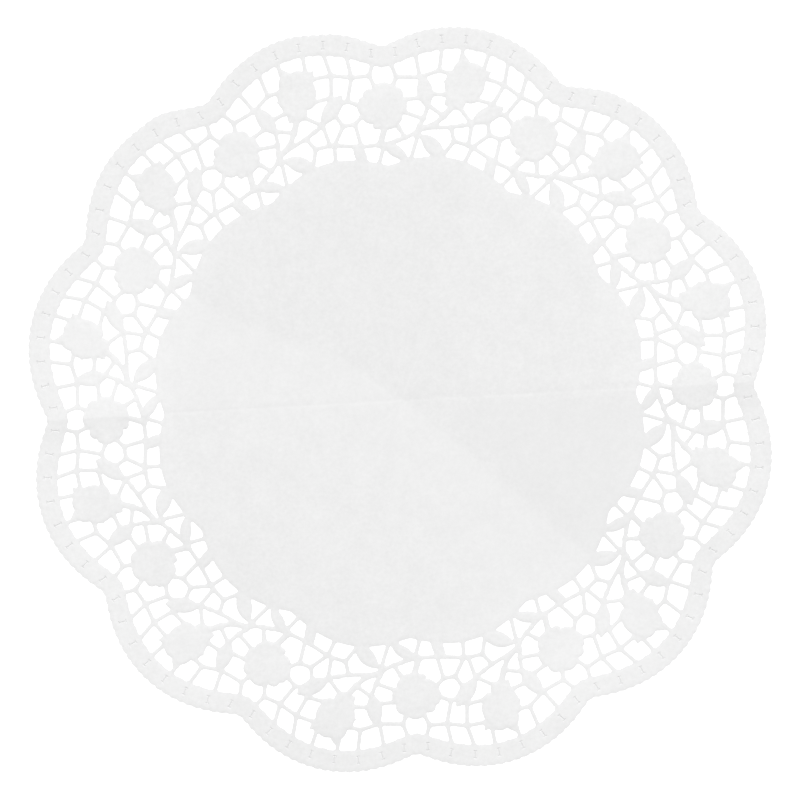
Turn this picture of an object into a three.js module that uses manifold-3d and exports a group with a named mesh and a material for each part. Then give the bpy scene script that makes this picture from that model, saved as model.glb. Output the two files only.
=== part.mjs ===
// Round paper doily: one die-cut sheet with a plain scalloped centre, an openwork ground of bars,
// roses, leaves and stems, and a lobed border band. It lies flat, with one fold line across it.
// Millimetres and degrees, +Z up, the origin on the surface under the middle.
import * as THREE from "three";
import { mergeVertices } from "three/addons/utils/BufferGeometryUtils.js";
import Module from "manifold-3d";

const wasm = await Module();
wasm.setup();

// Driving dimensions
const REPEATS = 12;
const REPEAT_ANGLE = 360 / REPEATS;
const SHEET_THICKNESS = 1.0;
const OPENINGS_PER_REPEAT = 25;
const BAR_WIDTH = 2.1;
const STEM_WIDTH = 2.7;

// Edges that follow the lobes: the radius in a valley, the rise to a crest and the angle of the crest
const OUTER_EDGE = { valley: 169.1, rise: 11.6, crest: 17.75 };
const BAND_EDGE = { valley: 159.1, rise: 11.65, crest: 17.6 };
const CENTRE_EDGE = { valley: 112.4, rise: 6.6, crest: 17.6 };
const VALLEY_SOFTNESS = 0.05;
const EDGE_STEPS = 12;

// Roundness of leaves, and the sides that stand for a curve
const LEAF_FULLNESS = 0.8;
const LEAF_STEPS = 4;
const FLOWER_STEPS = 18;
const IN_LINE = 0.15;

// Heights of the upright cutters, and of the shapes that are taken out of them
const CUT = { low: -1, high: 4 };
const KEEP = { low: -2, high: 5 };
const OVERSHOOT = 2;

// The fold line: its turn from +X, how far it passes above the middle, and its low ridge
const FOLD = { turn: 3.1, above: 0.8, halfWidth: 9.0, height: 1.2 };

// Points of the net in one repeat, by angle and radius. A ring that reaches into the next repeat marks
// its name there with a plus.
const PINS = {
  // feet of the bars, inside the plain centre
  foot1: { angle: 5.5, radius: 109.5 },
  footE: { angle: 8.4, radius: 111.0 },
  foot2: { angle: 14.8, radius: 115.5 },
  foot3: { angle: 20.35, radius: 117.5 },
  foot4: { angle: 27.9, radius: 111.0 },
  // heads of the bars, inside the border band
  head1: { angle: 1.65, radius: 163.0 },
  head2: { angle: 4.45, radius: 163.0 },
  head3: { angle: 8.7, radius: 168.0 },
  head4: { angle: 12.3, radius: 171.5 },
  head5: { angle: 15.6, radius: 173.0 },
  head6: { angle: 19.9, radius: 173.0 },
  head7: { angle: 23.2, radius: 171.5 },
  head8: { angle: 27.65, radius: 168.0 },
  // knots of the net
  net1: { angle: 0.5, radius: 154.4 },
  net2: { angle: 5.2, radius: 155.6 },
  net3: { angle: 8.45, radius: 155.8 },
  net4: { angle: 11.75, radius: 158.3 },
  net5: { angle: 12.6, radius: 148.3 },
  net6: { angle: 9.9, radius: 145.3 },
  net7: { angle: 23.2, radius: 158.5 },
  net8: { angle: 26.45, radius: 154.6 },
  net9: { angle: 23.9, radius: 147.2 },
  net10: { angle: 26.5, radius: 144.8 },
  net11: { angle: 24.5, radius: 141.8 },
  net12: { angle: 25.1, radius: 135.4 },
  net14: { angle: 15.5, radius: 136.4 },
  net15: { angle: 11.65, radius: 133.9 },
  net16: { angle: 8.85, radius: 133.5 },
  net17: { angle: 8.5, radius: 122.9 },
  net18: { angle: 14.0, radius: 126.2 },
  net19: { angle: 15.1, radius: 126.6 },
  net20: { angle: 18.15, radius: 126.9 },
  // stems
  low1: { angle: 28.9, radius: 125.8 },
  low2: { angle: 30.4, radius: 124.9 },
  low3: { angle: 3.3, radius: 122.7 },
  low4: { angle: 4.3, radius: 122.8 },
  trunk: { angle: 26.2, radius: 125.0 },
  fork: { angle: 26.4, radius: 128.5 },
  branch: { angle: 25.9, radius: 131.6 },
  twig: { angle: 24.7, radius: 131.3 },
  rise1: { angle: 22.7, radius: 133.9 },
  rise2: { angle: 21.4, radius: 137.6 },
  arm1: { angle: 19.3, radius: 132.7 },
  arm2: { angle: 17.4, radius: 134.5 },
  // where bars and stems meet the open rose
  roseA: { angle: 3.3, radius: 141.0 },
  openStem: { angle: 3.1, radius: 130.4 },
  openLow: { angle: 30.4, radius: 130.4 },
  openRight: { angle: 7.2, radius: 137.1 },
  openHigh: { angle: 8.0, radius: 142.8 },
  openTop1: { angle: 1.15, radius: 150.7 },
  openTop2: { angle: 4.5, radius: 150.0 },
  openLeft: { angle: 29.2, radius: 137.6 },
  openSide: { angle: 28.9, radius: 143.8 },
  // where bars and stems meet the bud
  roseB: { angle: 18.6, radius: 154.1 },
  budStem: { angle: 20.0, radius: 142.4 },
  budLow: { angle: 18.4, radius: 142.3 },
  budLeft: { angle: 16.0, radius: 148.2 },
  budSide: { angle: 15.0, radius: 158.3 },
  budTop1: { angle: 15.85, radius: 162.4 },
  budTop2: { angle: 19.8, radius: 165.5 },
  budHigh: { angle: 21.3, radius: 157.8 },
  budRight: { angle: 21.6, radius: 147.6 },
  // middles of the leaves
  leafC: { angle: 13.2, radius: 143.3 },
  leafD: { angle: 25.3, radius: 148.1 },
  leafF: { angle: 22.6, radius: 122.8 },
  leafG: { angle: 30.3, radius: 119.2 },
};

// Openings of one repeat, each the ring of pins around it
const OPENINGS = [
  "foot4 leafG low3+ foot1+",
  "foot1 low3 low4 net17 footE",
  "footE net17 net18 foot2",
  "foot2 net18 net19 net20 foot3",
  "foot3 leafF fork trunk foot4",
  "foot4 trunk fork low1 low2 low3+ leafG",
  "low1 low2 low3+ low4+ openStem+ roseA+ openLow",
  "low4 net17 net16 openRight roseA openStem",
  "net17 net18 net15 net16",
  "net18 net19 net14 leafC net15",
  "net19 net20 arm1 arm2 net14",
  "foot3 net20 arm1 twig fork leafF",
  "net16 net15 leafC net6 openHigh roseA openRight",
  "net14 arm2 arm1 twig rise1 rise2 budStem budLow",
  "net14 budLow roseB budLeft net5 leafC",
  "twig rise1 rise2 net11 net12 branch",
  "rise2 net11 leafD net9 budRight roseB budStem",
  "fork branch net12 openLeft roseA+ openLow low1",
  "net12 openLeft roseA+ openSide net10 leafD net11",
  "roseA openTop1 net1 head1 head2 net2 openTop2",
  "net2 head2 head3 net3",
  "openTop2 net2 net3 net6 openHigh roseA",
  "net3 head3 head4 net4",
  "net3 net4 net5 leafC net6",
  "net4 head4 head5 budTop1 roseB budSide",
  "net5 net4 budSide roseB budLeft",
  "budTop1 head5 head6 budTop2 roseB",
  "budTop2 head6 head7 net7 budHigh roseB",
  "net7 head7 head8 net8",
  "net8 head8 head1+ net1+",
  "leafD net8 net1+ openTop1+ roseA+ openSide net10",
  "budRight roseB budHigh net7 net8 leafD net9",
];

// Stems are broader than the bars
const STEMS = [
  "foot4 trunk fork branch net12 net11",
  "twig rise1 rise2 budStem",
  "low4 openStem",
];

// Leaves run from foot to tip, each by angle and radius
const LEAVES = [
  { foot: [15.3, 137.0], tip: [10.3, 149.2], width: 8.1 },
  { foot: [24.6, 140.6], tip: [25.9, 155.6], width: 7.8 },
  { foot: [8.2, 113.5], tip: [9.6, 124.2], width: 5.6 },
  { foot: [19.8, 117.8], tip: [24.9, 128.2], width: 8.0 },
  { foot: [28.0, 116.4], tip: [33.5, 123.4], width: 6.4 },
];

// Sepals that stand out from the bud, from their root to their tip
const SEPALS = [
  { foot: [17.2, 156.5], tip: [14.3, 162.6], width: 4.6 },
  { foot: [18.3, 159.0], tip: [19.7, 167.6], width: 4.6 },
  { foot: [20.0, 147.5], tip: [21.7, 142.5], width: 3.6 },
];

// Flowers by their middle, their width around and their height outwards
const FLOWERS = [
  { middle: "roseA", around: 23.4, outwards: 22.4, lobes: 5, lobeDepth: 0.8, turn: -50 },
  { middle: "roseB", around: 19.2, outwards: 21.2, lobes: 3, lobeDepth: 0.3, turn: 20 },
];

const radians = THREE.MathUtils.degToRad;

/** The point at an angle and radius about the middle of the sheet. */
function polar(angle, radius) {
  return new THREE.Vector2(Math.cos(radians(angle)), Math.sin(radians(angle))).multiplyScalar(radius);
}

/** The radius of an edge that follows the lobes. */
function lobedRadius(edge, angle) {
  const swing = Math.cos(radians((REPEATS / 2) * (angle - edge.crest)));
  const soft = Math.hypot(swing, VALLEY_SOFTNESS) - VALLEY_SOFTNESS;
  return edge.valley + edge.rise * soft;
}

/** A closed edge that follows the lobes. */
function lobedOutline(edge) {
  const points = [];
  const count = REPEATS * EDGE_STEPS;
  for (let i = 0; i < count; i += 1) {
    const angle = edge.crest + (i * 360) / count;
    points.push(polar(angle, lobedRadius(edge, angle)));
  }
  return points;
}

/** The place of a pin, one repeat on where its name ends in a plus. */
function pinPoint(name) {
  const next = name.endsWith("+");
  const { angle, radius } = PINS[next ? name.slice(0, -1) : name];
  return polar(next ? angle + REPEAT_ANGLE : angle, radius);
}

/** True where two pins are neighbours along a stem. */
function isStem(from, to) {
  const [a, b] = [from, to].map((name) => name.replace("+", ""));
  return STEMS.some((stem) => {
    const pins = stem.split(" ");
    return pins.some((name, i) => (name === a && pins[i + 1] === b) || (name === b && pins[i + 1] === a));
  });
}

/** The side of a ring from one pin to the next, moved in by half the width of its bar. */
function insetSide(from, to) {
  const start = pinPoint(from);
  const along = pinPoint(to).sub(start).normalize();
  const inward = new THREE.Vector2(-along.y, along.x);
  const reach = (isStem(from, to) ? STEM_WIDTH : BAR_WIDTH) / 2;
  return { point: start.addScaledVector(inward, reach), along };
}

/** Where two sides cross, or the start of the second where they run nearly in line. */
function crossing(before, after) {
  const sine = before.along.cross(after.along);
  if (Math.abs(sine) < IN_LINE) {
    return after.point.clone();
  }
  const reach = after.point.clone().sub(before.point).cross(after.along) / sine;
  return before.point.clone().addScaledVector(before.along, reach);
}

/** The outline of an opening: its ring moved in, without the sides that a sharp corner swallows. */
function openingOutline(ring) {
  const names = ring.split(" ");
  if (THREE.ShapeUtils.area(names.map(pinPoint)) < 0) {
    names.reverse();
  }
  const sides = names.map((name, i) => insetSide(name, names[(i + 1) % names.length]));
  for (;;) {
    const corners = sides.map((side, i) => crossing(sides.at(i - 1), side));
    const swallowed = sides.findIndex((side, i) => {
      const length = corners[(i + 1) % sides.length].clone().sub(corners[i]).dot(side.along);
      return length < 0;
    });
    if (swallowed < 0) {
      return corners;
    }
    sides.splice(swallowed, 1);
  }
}

/** The pointed oval of a leaf. */
function leafOutline({ foot, tip, width }) {
  const start = polar(...foot);
  const end = polar(...tip);
  const along = end.clone().sub(start);
  const across = new THREE.Vector2(-along.y, along.x).normalize().multiplyScalar(width / 2);
  const points = [];
  for (const side of [-1, 1]) {
    for (let i = 0; i < LEAF_STEPS; i += 1) {
      const t = side < 0 ? i / LEAF_STEPS : 1 - i / LEAF_STEPS;
      points.push(start.clone()
        .addScaledVector(along, t)
        .addScaledVector(across, side * Math.sin(Math.PI * t) ** LEAF_FULLNESS));
    }
  }
  return points;
}

/** The petalled outline of a flower, its height pointing away from the middle of the sheet. */
function flowerOutline({ middle, around, outwards, lobes, lobeDepth, turn }) {
  const { angle } = PINS[middle];
  const centre = pinPoint(middle);
  const out = polar(angle, 1);
  const side = new THREE.Vector2(-out.y, out.x);
  const points = [];
  for (let i = 0; i < FLOWER_STEPS; i += 1) {
    const bearing = radians((i * 360) / FLOWER_STEPS);
    const lobe = lobeDepth * Math.cos(lobes * (bearing - radians(turn)));
    points.push(centre.clone()
      .addScaledVector(out, Math.cos(bearing) * (outwards / 2 + lobe))
      .addScaledVector(side, Math.sin(bearing) * (around / 2 + lobe)));
  }
  return points;
}

/** A closed solid from a three.js geometry. */
function toSolid(geometry) {
  geometry.deleteAttribute("normal");
  geometry.deleteAttribute("uv");
  const merged = mergeVertices(geometry);
  return new wasm.Manifold(new wasm.Mesh({
    numProp: 3,
    vertProperties: new Float32Array(merged.attributes.position.array),
    triVerts: new Uint32Array(merged.index.array),
  }));
}

/** An upright prism over an outline, turned by some repeats. */
function prism(outline, low, high, repeat = 0) {
  const geometry = new THREE.ExtrudeGeometry(new THREE.Shape(outline), { depth: high - low, bevelEnabled: false });
  geometry.translate(0, 0, low);
  geometry.rotateZ(radians(repeat * REPEAT_ANGLE));
  return toSolid(geometry);
}

/** What stays whole between the bars of one repeat: centre, leaves and flowers. */
function keptShapes() {
  const outlines = [...LEAVES, ...SEPALS].map(leafOutline).concat(FLOWERS.map(flowerOutline));
  const shapes = [prism(lobedOutline(CENTRE_EDGE), KEEP.low, KEEP.high)];
  for (const repeat of [-1, 0, 1]) {
    shapes.push(...outlines.map((outline) => prism(outline, KEEP.low, KEEP.high, repeat)));
  }
  return wasm.Manifold.union(shapes);
}

/** The solids that cut the largest openings of one repeat. */
function repeatCutters() {
  const kept = keptShapes();
  const ground = prism(lobedOutline(BAND_EDGE), KEEP.low, KEEP.high);
  const cutters = OPENINGS.map((ring) => {
    const opening = prism(openingOutline(ring), CUT.low, CUT.high);
    return opening.subtract(kept).intersect(ground);
  });
  cutters.sort((a, b) => b.volume() - a.volume());
  return cutters.slice(0, OPENINGS_PER_REPEAT);
}

/** A flat sheet with a low ridge along the fold line. */
function foldedSheet() {
  const reach = OUTER_EDGE.valley + OUTER_EDGE.rise + OVERSHOOT;
  const { turn, above, halfWidth, height } = FOLD;
  const profile = new THREE.Shape([
    new THREE.Vector2(-reach, 0),
    new THREE.Vector2(-halfWidth, 0),
    new THREE.Vector2(0, height),
    new THREE.Vector2(halfWidth, 0),
    new THREE.Vector2(reach, 0),
    new THREE.Vector2(reach, SHEET_THICKNESS),
    new THREE.Vector2(halfWidth, SHEET_THICKNESS),
    new THREE.Vector2(0, SHEET_THICKNESS + height),
    new THREE.Vector2(-halfWidth, SHEET_THICKNESS),
    new THREE.Vector2(-reach, SHEET_THICKNESS),
  ]);
  const geometry = new THREE.ExtrudeGeometry(profile, { depth: 2 * reach, bevelEnabled: false });
  geometry.translate(0, 0, -reach);
  geometry.rotateX(Math.PI / 2);
  geometry.rotateZ(Math.PI / 2 + radians(turn));
  geometry.translate(0, above, 0);
  return toSolid(geometry);
}

/** The whole sheet with its lobed edge and every opening cut through. */
function doilySheet() {
  let sheet = foldedSheet().intersect(prism(lobedOutline(OUTER_EDGE), KEEP.low, KEEP.high));
  const cutters = repeatCutters();
  for (let repeat = 0; repeat < REPEATS; repeat += 1) {
    for (const cutter of cutters) {
      sheet = sheet.subtract(cutter.rotate([0, 0, repeat * REPEAT_ANGLE]));
    }
  }
  return sheet;
}

/** A three.js geometry from a closed solid. */
function toGeometry(solid) {
  const { vertProperties, triVerts } = solid.getMesh();
  const geometry = new THREE.BufferGeometry();
  geometry.setAttribute("position", new THREE.BufferAttribute(new Float32Array(vertProperties), 3));
  geometry.setIndex(new THREE.BufferAttribute(new Uint32Array(triVerts), 1));
  return geometry;
}

const paper = new THREE.MeshStandardMaterial({ color: 0xeeedec, roughness: 0.85, metalness: 0 });
const doily = new THREE.Mesh(toGeometry(doilySheet()), paper);
doily.name = "doily";

const group = new THREE.Group();
group.add(doily);

export default group;
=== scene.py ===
"""Round paper doily, laid flat on a white table: one embossed and die-cut sheet."""

import logging
import math
from collections.abc import Iterable, Iterator
from dataclasses import dataclass, field
from functools import reduce
from itertools import combinations, pairwise

import bmesh
import bpy
import numpy as np
from mathutils import Matrix, Vector
from mathutils.geometry import delaunay_2d_cdt


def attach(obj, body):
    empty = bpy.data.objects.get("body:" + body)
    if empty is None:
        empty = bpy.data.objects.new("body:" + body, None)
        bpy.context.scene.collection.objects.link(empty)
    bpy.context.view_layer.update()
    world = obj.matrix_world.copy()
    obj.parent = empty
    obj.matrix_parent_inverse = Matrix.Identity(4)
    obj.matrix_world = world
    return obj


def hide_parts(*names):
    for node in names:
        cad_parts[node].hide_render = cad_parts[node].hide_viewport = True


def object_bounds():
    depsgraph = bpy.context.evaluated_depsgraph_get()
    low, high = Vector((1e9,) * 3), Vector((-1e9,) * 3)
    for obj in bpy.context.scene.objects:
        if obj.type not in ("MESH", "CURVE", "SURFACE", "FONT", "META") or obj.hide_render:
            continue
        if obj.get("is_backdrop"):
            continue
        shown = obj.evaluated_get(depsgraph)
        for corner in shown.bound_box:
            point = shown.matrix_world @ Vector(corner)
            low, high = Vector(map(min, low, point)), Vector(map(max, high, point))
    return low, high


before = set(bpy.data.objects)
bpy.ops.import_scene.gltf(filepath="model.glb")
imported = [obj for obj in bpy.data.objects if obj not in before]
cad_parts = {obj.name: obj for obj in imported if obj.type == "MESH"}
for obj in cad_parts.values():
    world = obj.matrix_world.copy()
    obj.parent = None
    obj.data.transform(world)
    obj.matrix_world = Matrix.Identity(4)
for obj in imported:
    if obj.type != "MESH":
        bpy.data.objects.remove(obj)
CAD_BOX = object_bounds()

log = logging.getLogger("doily")

# Lengths are in metres, except where a class or a method says millimetres
MM = 0.001
FAR = 1.0
REPEATS = 12
REPEAT = math.radians(360 / REPEATS)

# Points of the net in one repeat: angle in degrees, radius in metres. A ring that reaches into the next
# repeat marks the point's name there with a plus.
PINS = {
    # feet of the bars, inside the plain centre
    "foot1": (5.65, 0.1095),
    "footE": (8.4, 0.1110),
    "foot2": (15.1, 0.1155),
    "foot3": (20.5, 0.1175),
    "foot4": (28.0, 0.1110),
    # heads of the bars, inside the border band
    "head1": (1.75, 0.1630),
    "head2": (4.35, 0.1630),
    "head3": (8.8, 0.1680),
    "head4": (12.45, 0.1715),
    "head5": (15.6, 0.1730),
    "head6": (19.9, 0.1730),
    "head7": (23.2, 0.1715),
    "head8": (27.65, 0.1680),
    # knots of the net
    "net1": (0.6, 0.1544),
    "net2": (5.3, 0.1556),
    "net3": (8.4, 0.1558),
    "net4": (11.8, 0.1585),
    "net5": (12.6, 0.1483),
    "net6": (9.8, 0.1451),
    "net7": (23.2, 0.1585),
    "net8": (26.45, 0.1546),
    "net9": (23.9, 0.1472),
    "net10": (26.5, 0.1448),
    "net11": (24.5, 0.1418),
    "net12": (25.2, 0.1352),
    "net14": (15.45, 0.1364),
    "net15": (11.5, 0.1339),
    "net16": (9.05, 0.1338),
    "net17": (8.4, 0.1229),
    "net18": (14.15, 0.1260),
    "net19": (15.05, 0.1264),
    "net20": (18.25, 0.1268),
    # stems
    "low1": (28.8, 0.12585),
    "low2": (30.4, 0.1246),
    "low3": (3.4, 0.1227),
    "low4": (4.3, 0.1228),
    "trunk": (26.3, 0.1250),
    "fork": (26.5, 0.1285),
    "branch": (25.95, 0.1316),
    "twig": (24.7, 0.1310),
    "rise1": (22.6, 0.1338),
    "rise2": (21.3, 0.1375),
    "arm1": (19.45, 0.1329),
    "arm2": (17.4, 0.1347),
    # where bars and stems meet the open rose
    "roseA": (3.3, 0.1410),
    "openStem": (3.1, 0.1304),
    "openLow": (30.15, 0.1306),
    "openRight": (7.35, 0.1373),
    "openHigh": (8.0, 0.1426),
    "openTop1": (1.15, 0.1507),
    "openTop2": (4.5, 0.1500),
    "openLeft": (29.2, 0.1380),
    "openSide": (28.9, 0.1438),
    # where bars and stems meet the bud
    "roseB": (18.6, 0.1541),
    "budStem": (20.0, 0.1424),
    "budLow": (18.4, 0.1426),
    "budLeft": (16.0, 0.1482),
    "budSide": (15.0, 0.1589),
    "budTop1": (15.85, 0.1624),
    "budTop2": (19.8, 0.1655),
    "budHigh": (21.3, 0.1578),
    "budRight": (21.6, 0.1476),
    # middles of the leaves
    "leafC": (13.2, 0.1433),
    "leafD": (25.3, 0.1481),
    "leafF": (22.6, 0.1228),
    "leafG": (30.3, 0.1192),
}

# Openings of one repeat, each the ring of points around it
OPENINGS = (
    "foot4 leafG low3+ foot1+",
    "foot1 low3 low4 net17 footE",
    "footE net17 net18 foot2",
    "foot2 net18 net19 net20 foot3",
    "foot3 leafF fork trunk foot4",
    "foot4 trunk fork low1 low2 low3+ leafG",
    "low1 low2 low3+ low4+ openStem+ roseA+ openLow",
    "low4 net17 net16 openRight roseA openStem",
    "net17 net18 net15 net16",
    "net18 net19 net14 leafC net15",
    "net19 net20 arm1 arm2 net14",
    "foot3 net20 arm1 twig fork leafF",
    "net16 net15 leafC net6 openHigh roseA openRight",
    "net14 arm2 arm1 twig rise1 rise2 budStem budLow",
    "net14 budLow roseB budLeft net5 leafC",
    "twig rise1 rise2 net11 net12 branch",
    "rise2 net11 leafD net9 budRight roseB budStem",
    "fork branch net12 openLeft roseA+ openLow low1",
    "net12 openLeft roseA+ openSide net10 leafD net11",
    "roseA openTop1 net1 head1 head2 net2 openTop2",
    "net2 head2 head3 net3",
    "openTop2 net2 net3 net6 openHigh roseA",
    "net3 head3 head4 net4",
    "net3 net4 net5 leafC net6",
    "net4 head4 head5 budTop1 roseB budSide",
    "net5 net4 budSide roseB budLeft",
    "budTop1 head5 head6 budTop2 roseB",
    "budTop2 head6 head7 net7 budHigh roseB",
    "net7 head7 head8 net8",
    "net8 head8 head1+ net1+",
    "leafD net8 net1+ openTop1+ roseA+ openSide net10",
    "budRight roseB budHigh net7 net8 leafD net9",
)

# Stems are broader than the bars
STEMS = {
    "foot4 trunk fork branch net12 net11": 0.0021,
    "twig rise1 rise2": 0.0026,
    "rise2 budStem": 0.0032,
    "low4 openStem": 0.0032,
}


def polar(angle: float, radius: float) -> np.ndarray:
    """The point at an angle in degrees and a radius about the middle of the sheet."""
    turn = math.radians(angle)
    return np.array((math.cos(turn), math.sin(turn))) * radius


def placed(turn: np.ndarray, radius: np.ndarray) -> np.ndarray:
    """The points at turns in radians and radii about the middle of the sheet."""
    return np.stack((radius * np.cos(turn), radius * np.sin(turn)), axis=-1)


def turned(points: np.ndarray, turn: float | np.ndarray) -> np.ndarray:
    """The points turned about the middle of the sheet, by a turn in radians or each by its own."""
    cosine, sine, x, y = np.cos(turn), np.sin(turn), points[:, 0], points[:, 1]
    return np.stack((x * cosine - y * sine, x * sine + y * cosine), axis=1)


def left_of(direction: np.ndarray) -> np.ndarray:
    """The direction a quarter turn to the left of another."""
    return np.array((-direction[1], direction[0]))


def least(distances: Iterable[np.ndarray]) -> np.ndarray:
    """The least of several distances, for each point."""
    return reduce(np.minimum, distances)


def pin_point(name: str) -> np.ndarray:
    """The place of a named point, one repeat on where its name ends in a plus."""
    angle, radius = PINS[name.rstrip("+")]
    return polar(angle + (360 / REPEATS if name.endswith("+") else 0.0), radius)


def soft_step(low: float, high: float, value: np.ndarray) -> np.ndarray:
    """Zero below low, one above high and a smooth rise between."""
    share = np.clip((value - low) / (high - low), 0.0, 1.0)
    return share * share * (3 - 2 * share)


@dataclass(frozen=True)
class LobedEdge:
    """An edge that follows the lobes, with a fine wave or small teeth on it."""

    valley: float
    rise: float
    crest: float
    softness: float
    fullness: float
    wave: float = 0.0
    waves: int = 23
    wave_crest: float = 0.19
    wave_softness: float = 0.12
    teeth: tuple[float, ...] = ()
    tooth: float = 0.0
    half_tooth: float = 0.5
    probe: float = 0.08

    def radius(self, angle: np.ndarray) -> np.ndarray:
        """The radius of the edge at angles in degrees.

        Args:
            angle: Angles in degrees.

        Returns:
            The radius at each, in metres.
        """
        swing = np.cos(np.radians((REPEATS / 2) * (angle - self.crest)))
        full = math.hypot(1, self.softness) - self.softness
        share = (np.hypot(swing, self.softness) - self.softness) / full
        radius = self.valley + self.rise * share**self.fullness
        if self.wave:
            swell = np.cos(np.radians(self.waves * REPEATS / 2 * (angle - self.wave_crest)))
            rounded = np.hypot(swell, self.wave_softness) - self.wave_softness
            radius = radius + self.wave * (2 * rounded - 1)
        for tooth in self.teeth:
            away = (angle - tooth + 180 / REPEATS) % (360 / REPEATS) - 180 / REPEATS
            radius = radius - self.tooth * np.clip(1 - np.abs(away) / self.half_tooth, 0, 1)
        return radius

    def clearance(self, points: np.ndarray) -> np.ndarray:
        """How far points lie outside the edge, negative inside.

        Args:
            points: Places on the flat sheet, in metres.

        Returns:
            The distance of each, in metres.
        """
        angle = np.degrees(np.arctan2(points[:, 1], points[:, 0]))
        reach = np.hypot(points[:, 0], points[:, 1])
        rise = self.radius(angle + self.probe) - self.radius(angle - self.probe)
        slope = rise / (2 * math.radians(self.probe) * reach)
        return (reach - self.radius(angle)) / np.hypot(1.0, slope)


@dataclass(frozen=True)
class Leaf:
    """A pointed oval from its foot to its tip, each by angle and radius."""

    foot: tuple[float, float]
    tip: tuple[float, float]
    width: float
    roundness: float = 0.8 * MM

    def local(self, points: np.ndarray) -> tuple[np.ndarray, np.ndarray, float]:
        """The points across and along the leaf from its middle, and half the leaf's length.

        Args:
            points: Places on the flat sheet, in metres.

        Returns:
            The places across and along the leaf, and half its length, in metres.
        """
        start, end = polar(*self.foot), polar(*self.tip)
        middle = (start + end) / 2
        length = float(np.linalg.norm(end - start))
        along = (end - start) / length
        offset = points - middle
        return offset @ left_of(along), offset @ along, length / 2

    def clearance(self, points: np.ndarray) -> np.ndarray:
        """How far points lie outside the leaf, negative inside.

        Args:
            points: Places on the flat sheet, in metres.

        Returns:
            The distance of each, in metres.
        """
        across, along, half = self.local(points)
        half_length = half - self.roundness
        half_width = self.width / 2 - self.roundness
        radius = (half_length**2 + half_width**2) / (2 * half_width)
        offset = radius - half_width
        across, along = np.abs(across), np.abs(along)
        beyond = (along - half_length) * offset > across * half_length
        to_tip = np.hypot(across, along - half_length)
        to_side = np.hypot(across + offset, along) - radius
        return np.where(beyond, to_tip, to_side) - self.roundness


@dataclass(frozen=True)
class Petal:
    """An oval petal: its middle around and outwards from its flower's middle and its half sizes in
    millimetres, and its turn in degrees."""

    around: float
    out: float
    half_around: float
    half_out: float
    turn: float = 0.0

    def local(self, around: np.ndarray, out: np.ndarray) -> tuple[np.ndarray, np.ndarray]:
        """Places across and along the petal, as shares of its half sizes.

        Args:
            around: Places around from the flower's middle, in metres.
            out: The same outwards.

        Returns:
            The shares across and along, 1 at the petal's edge.
        """
        cosine, sine = math.cos(math.radians(self.turn)), math.sin(math.radians(self.turn))
        u = around - self.around * MM
        v = out - self.out * MM
        x = (u * cosine + v * sine) / (self.half_around * MM)
        y = (v * cosine - u * sine) / (self.half_out * MM)
        return x, y

    def clearance(self, around: np.ndarray, out: np.ndarray) -> np.ndarray:
        """How far places lie outside the petal, negative inside.

        Args:
            around: Places around from the flower's middle, in metres.
            out: The same outwards.

        Returns:
            The distance of each, in metres.
        """
        x, y = self.local(around, out)
        share = np.hypot(x, y)
        steepness = np.hypot(x / (self.half_around * MM), y / (self.half_out * MM))
        return share * (share - 1) / np.maximum(steepness, 1e-9)


@dataclass(frozen=True)
class Flower:
    """A flower of overlapping petals, the back ones first, about a named point."""

    middle: str
    petals: tuple[Petal, ...]

    def local(self, points: np.ndarray) -> tuple[np.ndarray, np.ndarray]:
        """The points around and outwards from the flower's middle.

        Args:
            points: Places on the flat sheet, in metres.

        Returns:
            The places around and outwards, in metres.
        """
        centre = pin_point(self.middle)
        out = centre / np.linalg.norm(centre)
        offset = points - centre
        return offset @ left_of(out), offset @ out

    def clearance(self, points: np.ndarray) -> np.ndarray:
        """How far points lie outside the flower, negative inside."""
        around, out = self.local(points)
        return least(petal.clearance(around, out) for petal in self.petals)


@dataclass(frozen=True)
class Stroke:
    """A bar or stem: a line through points, with a width."""

    line: tuple[tuple[float, float], ...]
    width: float

    def distance(self, points: np.ndarray) -> np.ndarray:
        """How far points lie from the line.

        Args:
            points: Places on the flat sheet, in metres.

        Returns:
            The distance of each, in metres.
        """
        rests = []
        for start, end in pairwise(self.line):
            along = np.subtract(end, start)
            offset = points - start
            share = np.clip(offset @ along / (along @ along), 0.0, 1.0)
            rests.append(offset - share[:, None] * along)
        return least(np.hypot(rest[:, 0], rest[:, 1]) for rest in rests)

    def clearance(self, points: np.ndarray) -> np.ndarray:
        """How far points lie outside the stroke, negative inside."""
        return self.distance(points) - self.width / 2


class TwoNearest:
    """The two nearest of the shapes offered so far, for each point."""

    def __init__(self, count: int) -> None:
        """Starts with nothing near any of the points."""
        self.first = np.full(count, FAR)
        self.second = np.full(count, FAR)

    def offer(self, distance: np.ndarray) -> None:
        """Takes the distances to one more shape."""
        self.second = np.minimum(self.second, np.maximum(self.first, distance))
        self.first = np.minimum(self.first, distance)

    def filleted(self, fillet: float) -> np.ndarray:
        """The distance to all shapes, with a fillet in the corners between two of them."""
        blend = np.clip(1 - (self.second - self.first) / fillet, 0.0, 1.0)
        return self.first - fillet / 4 * blend**2


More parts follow.
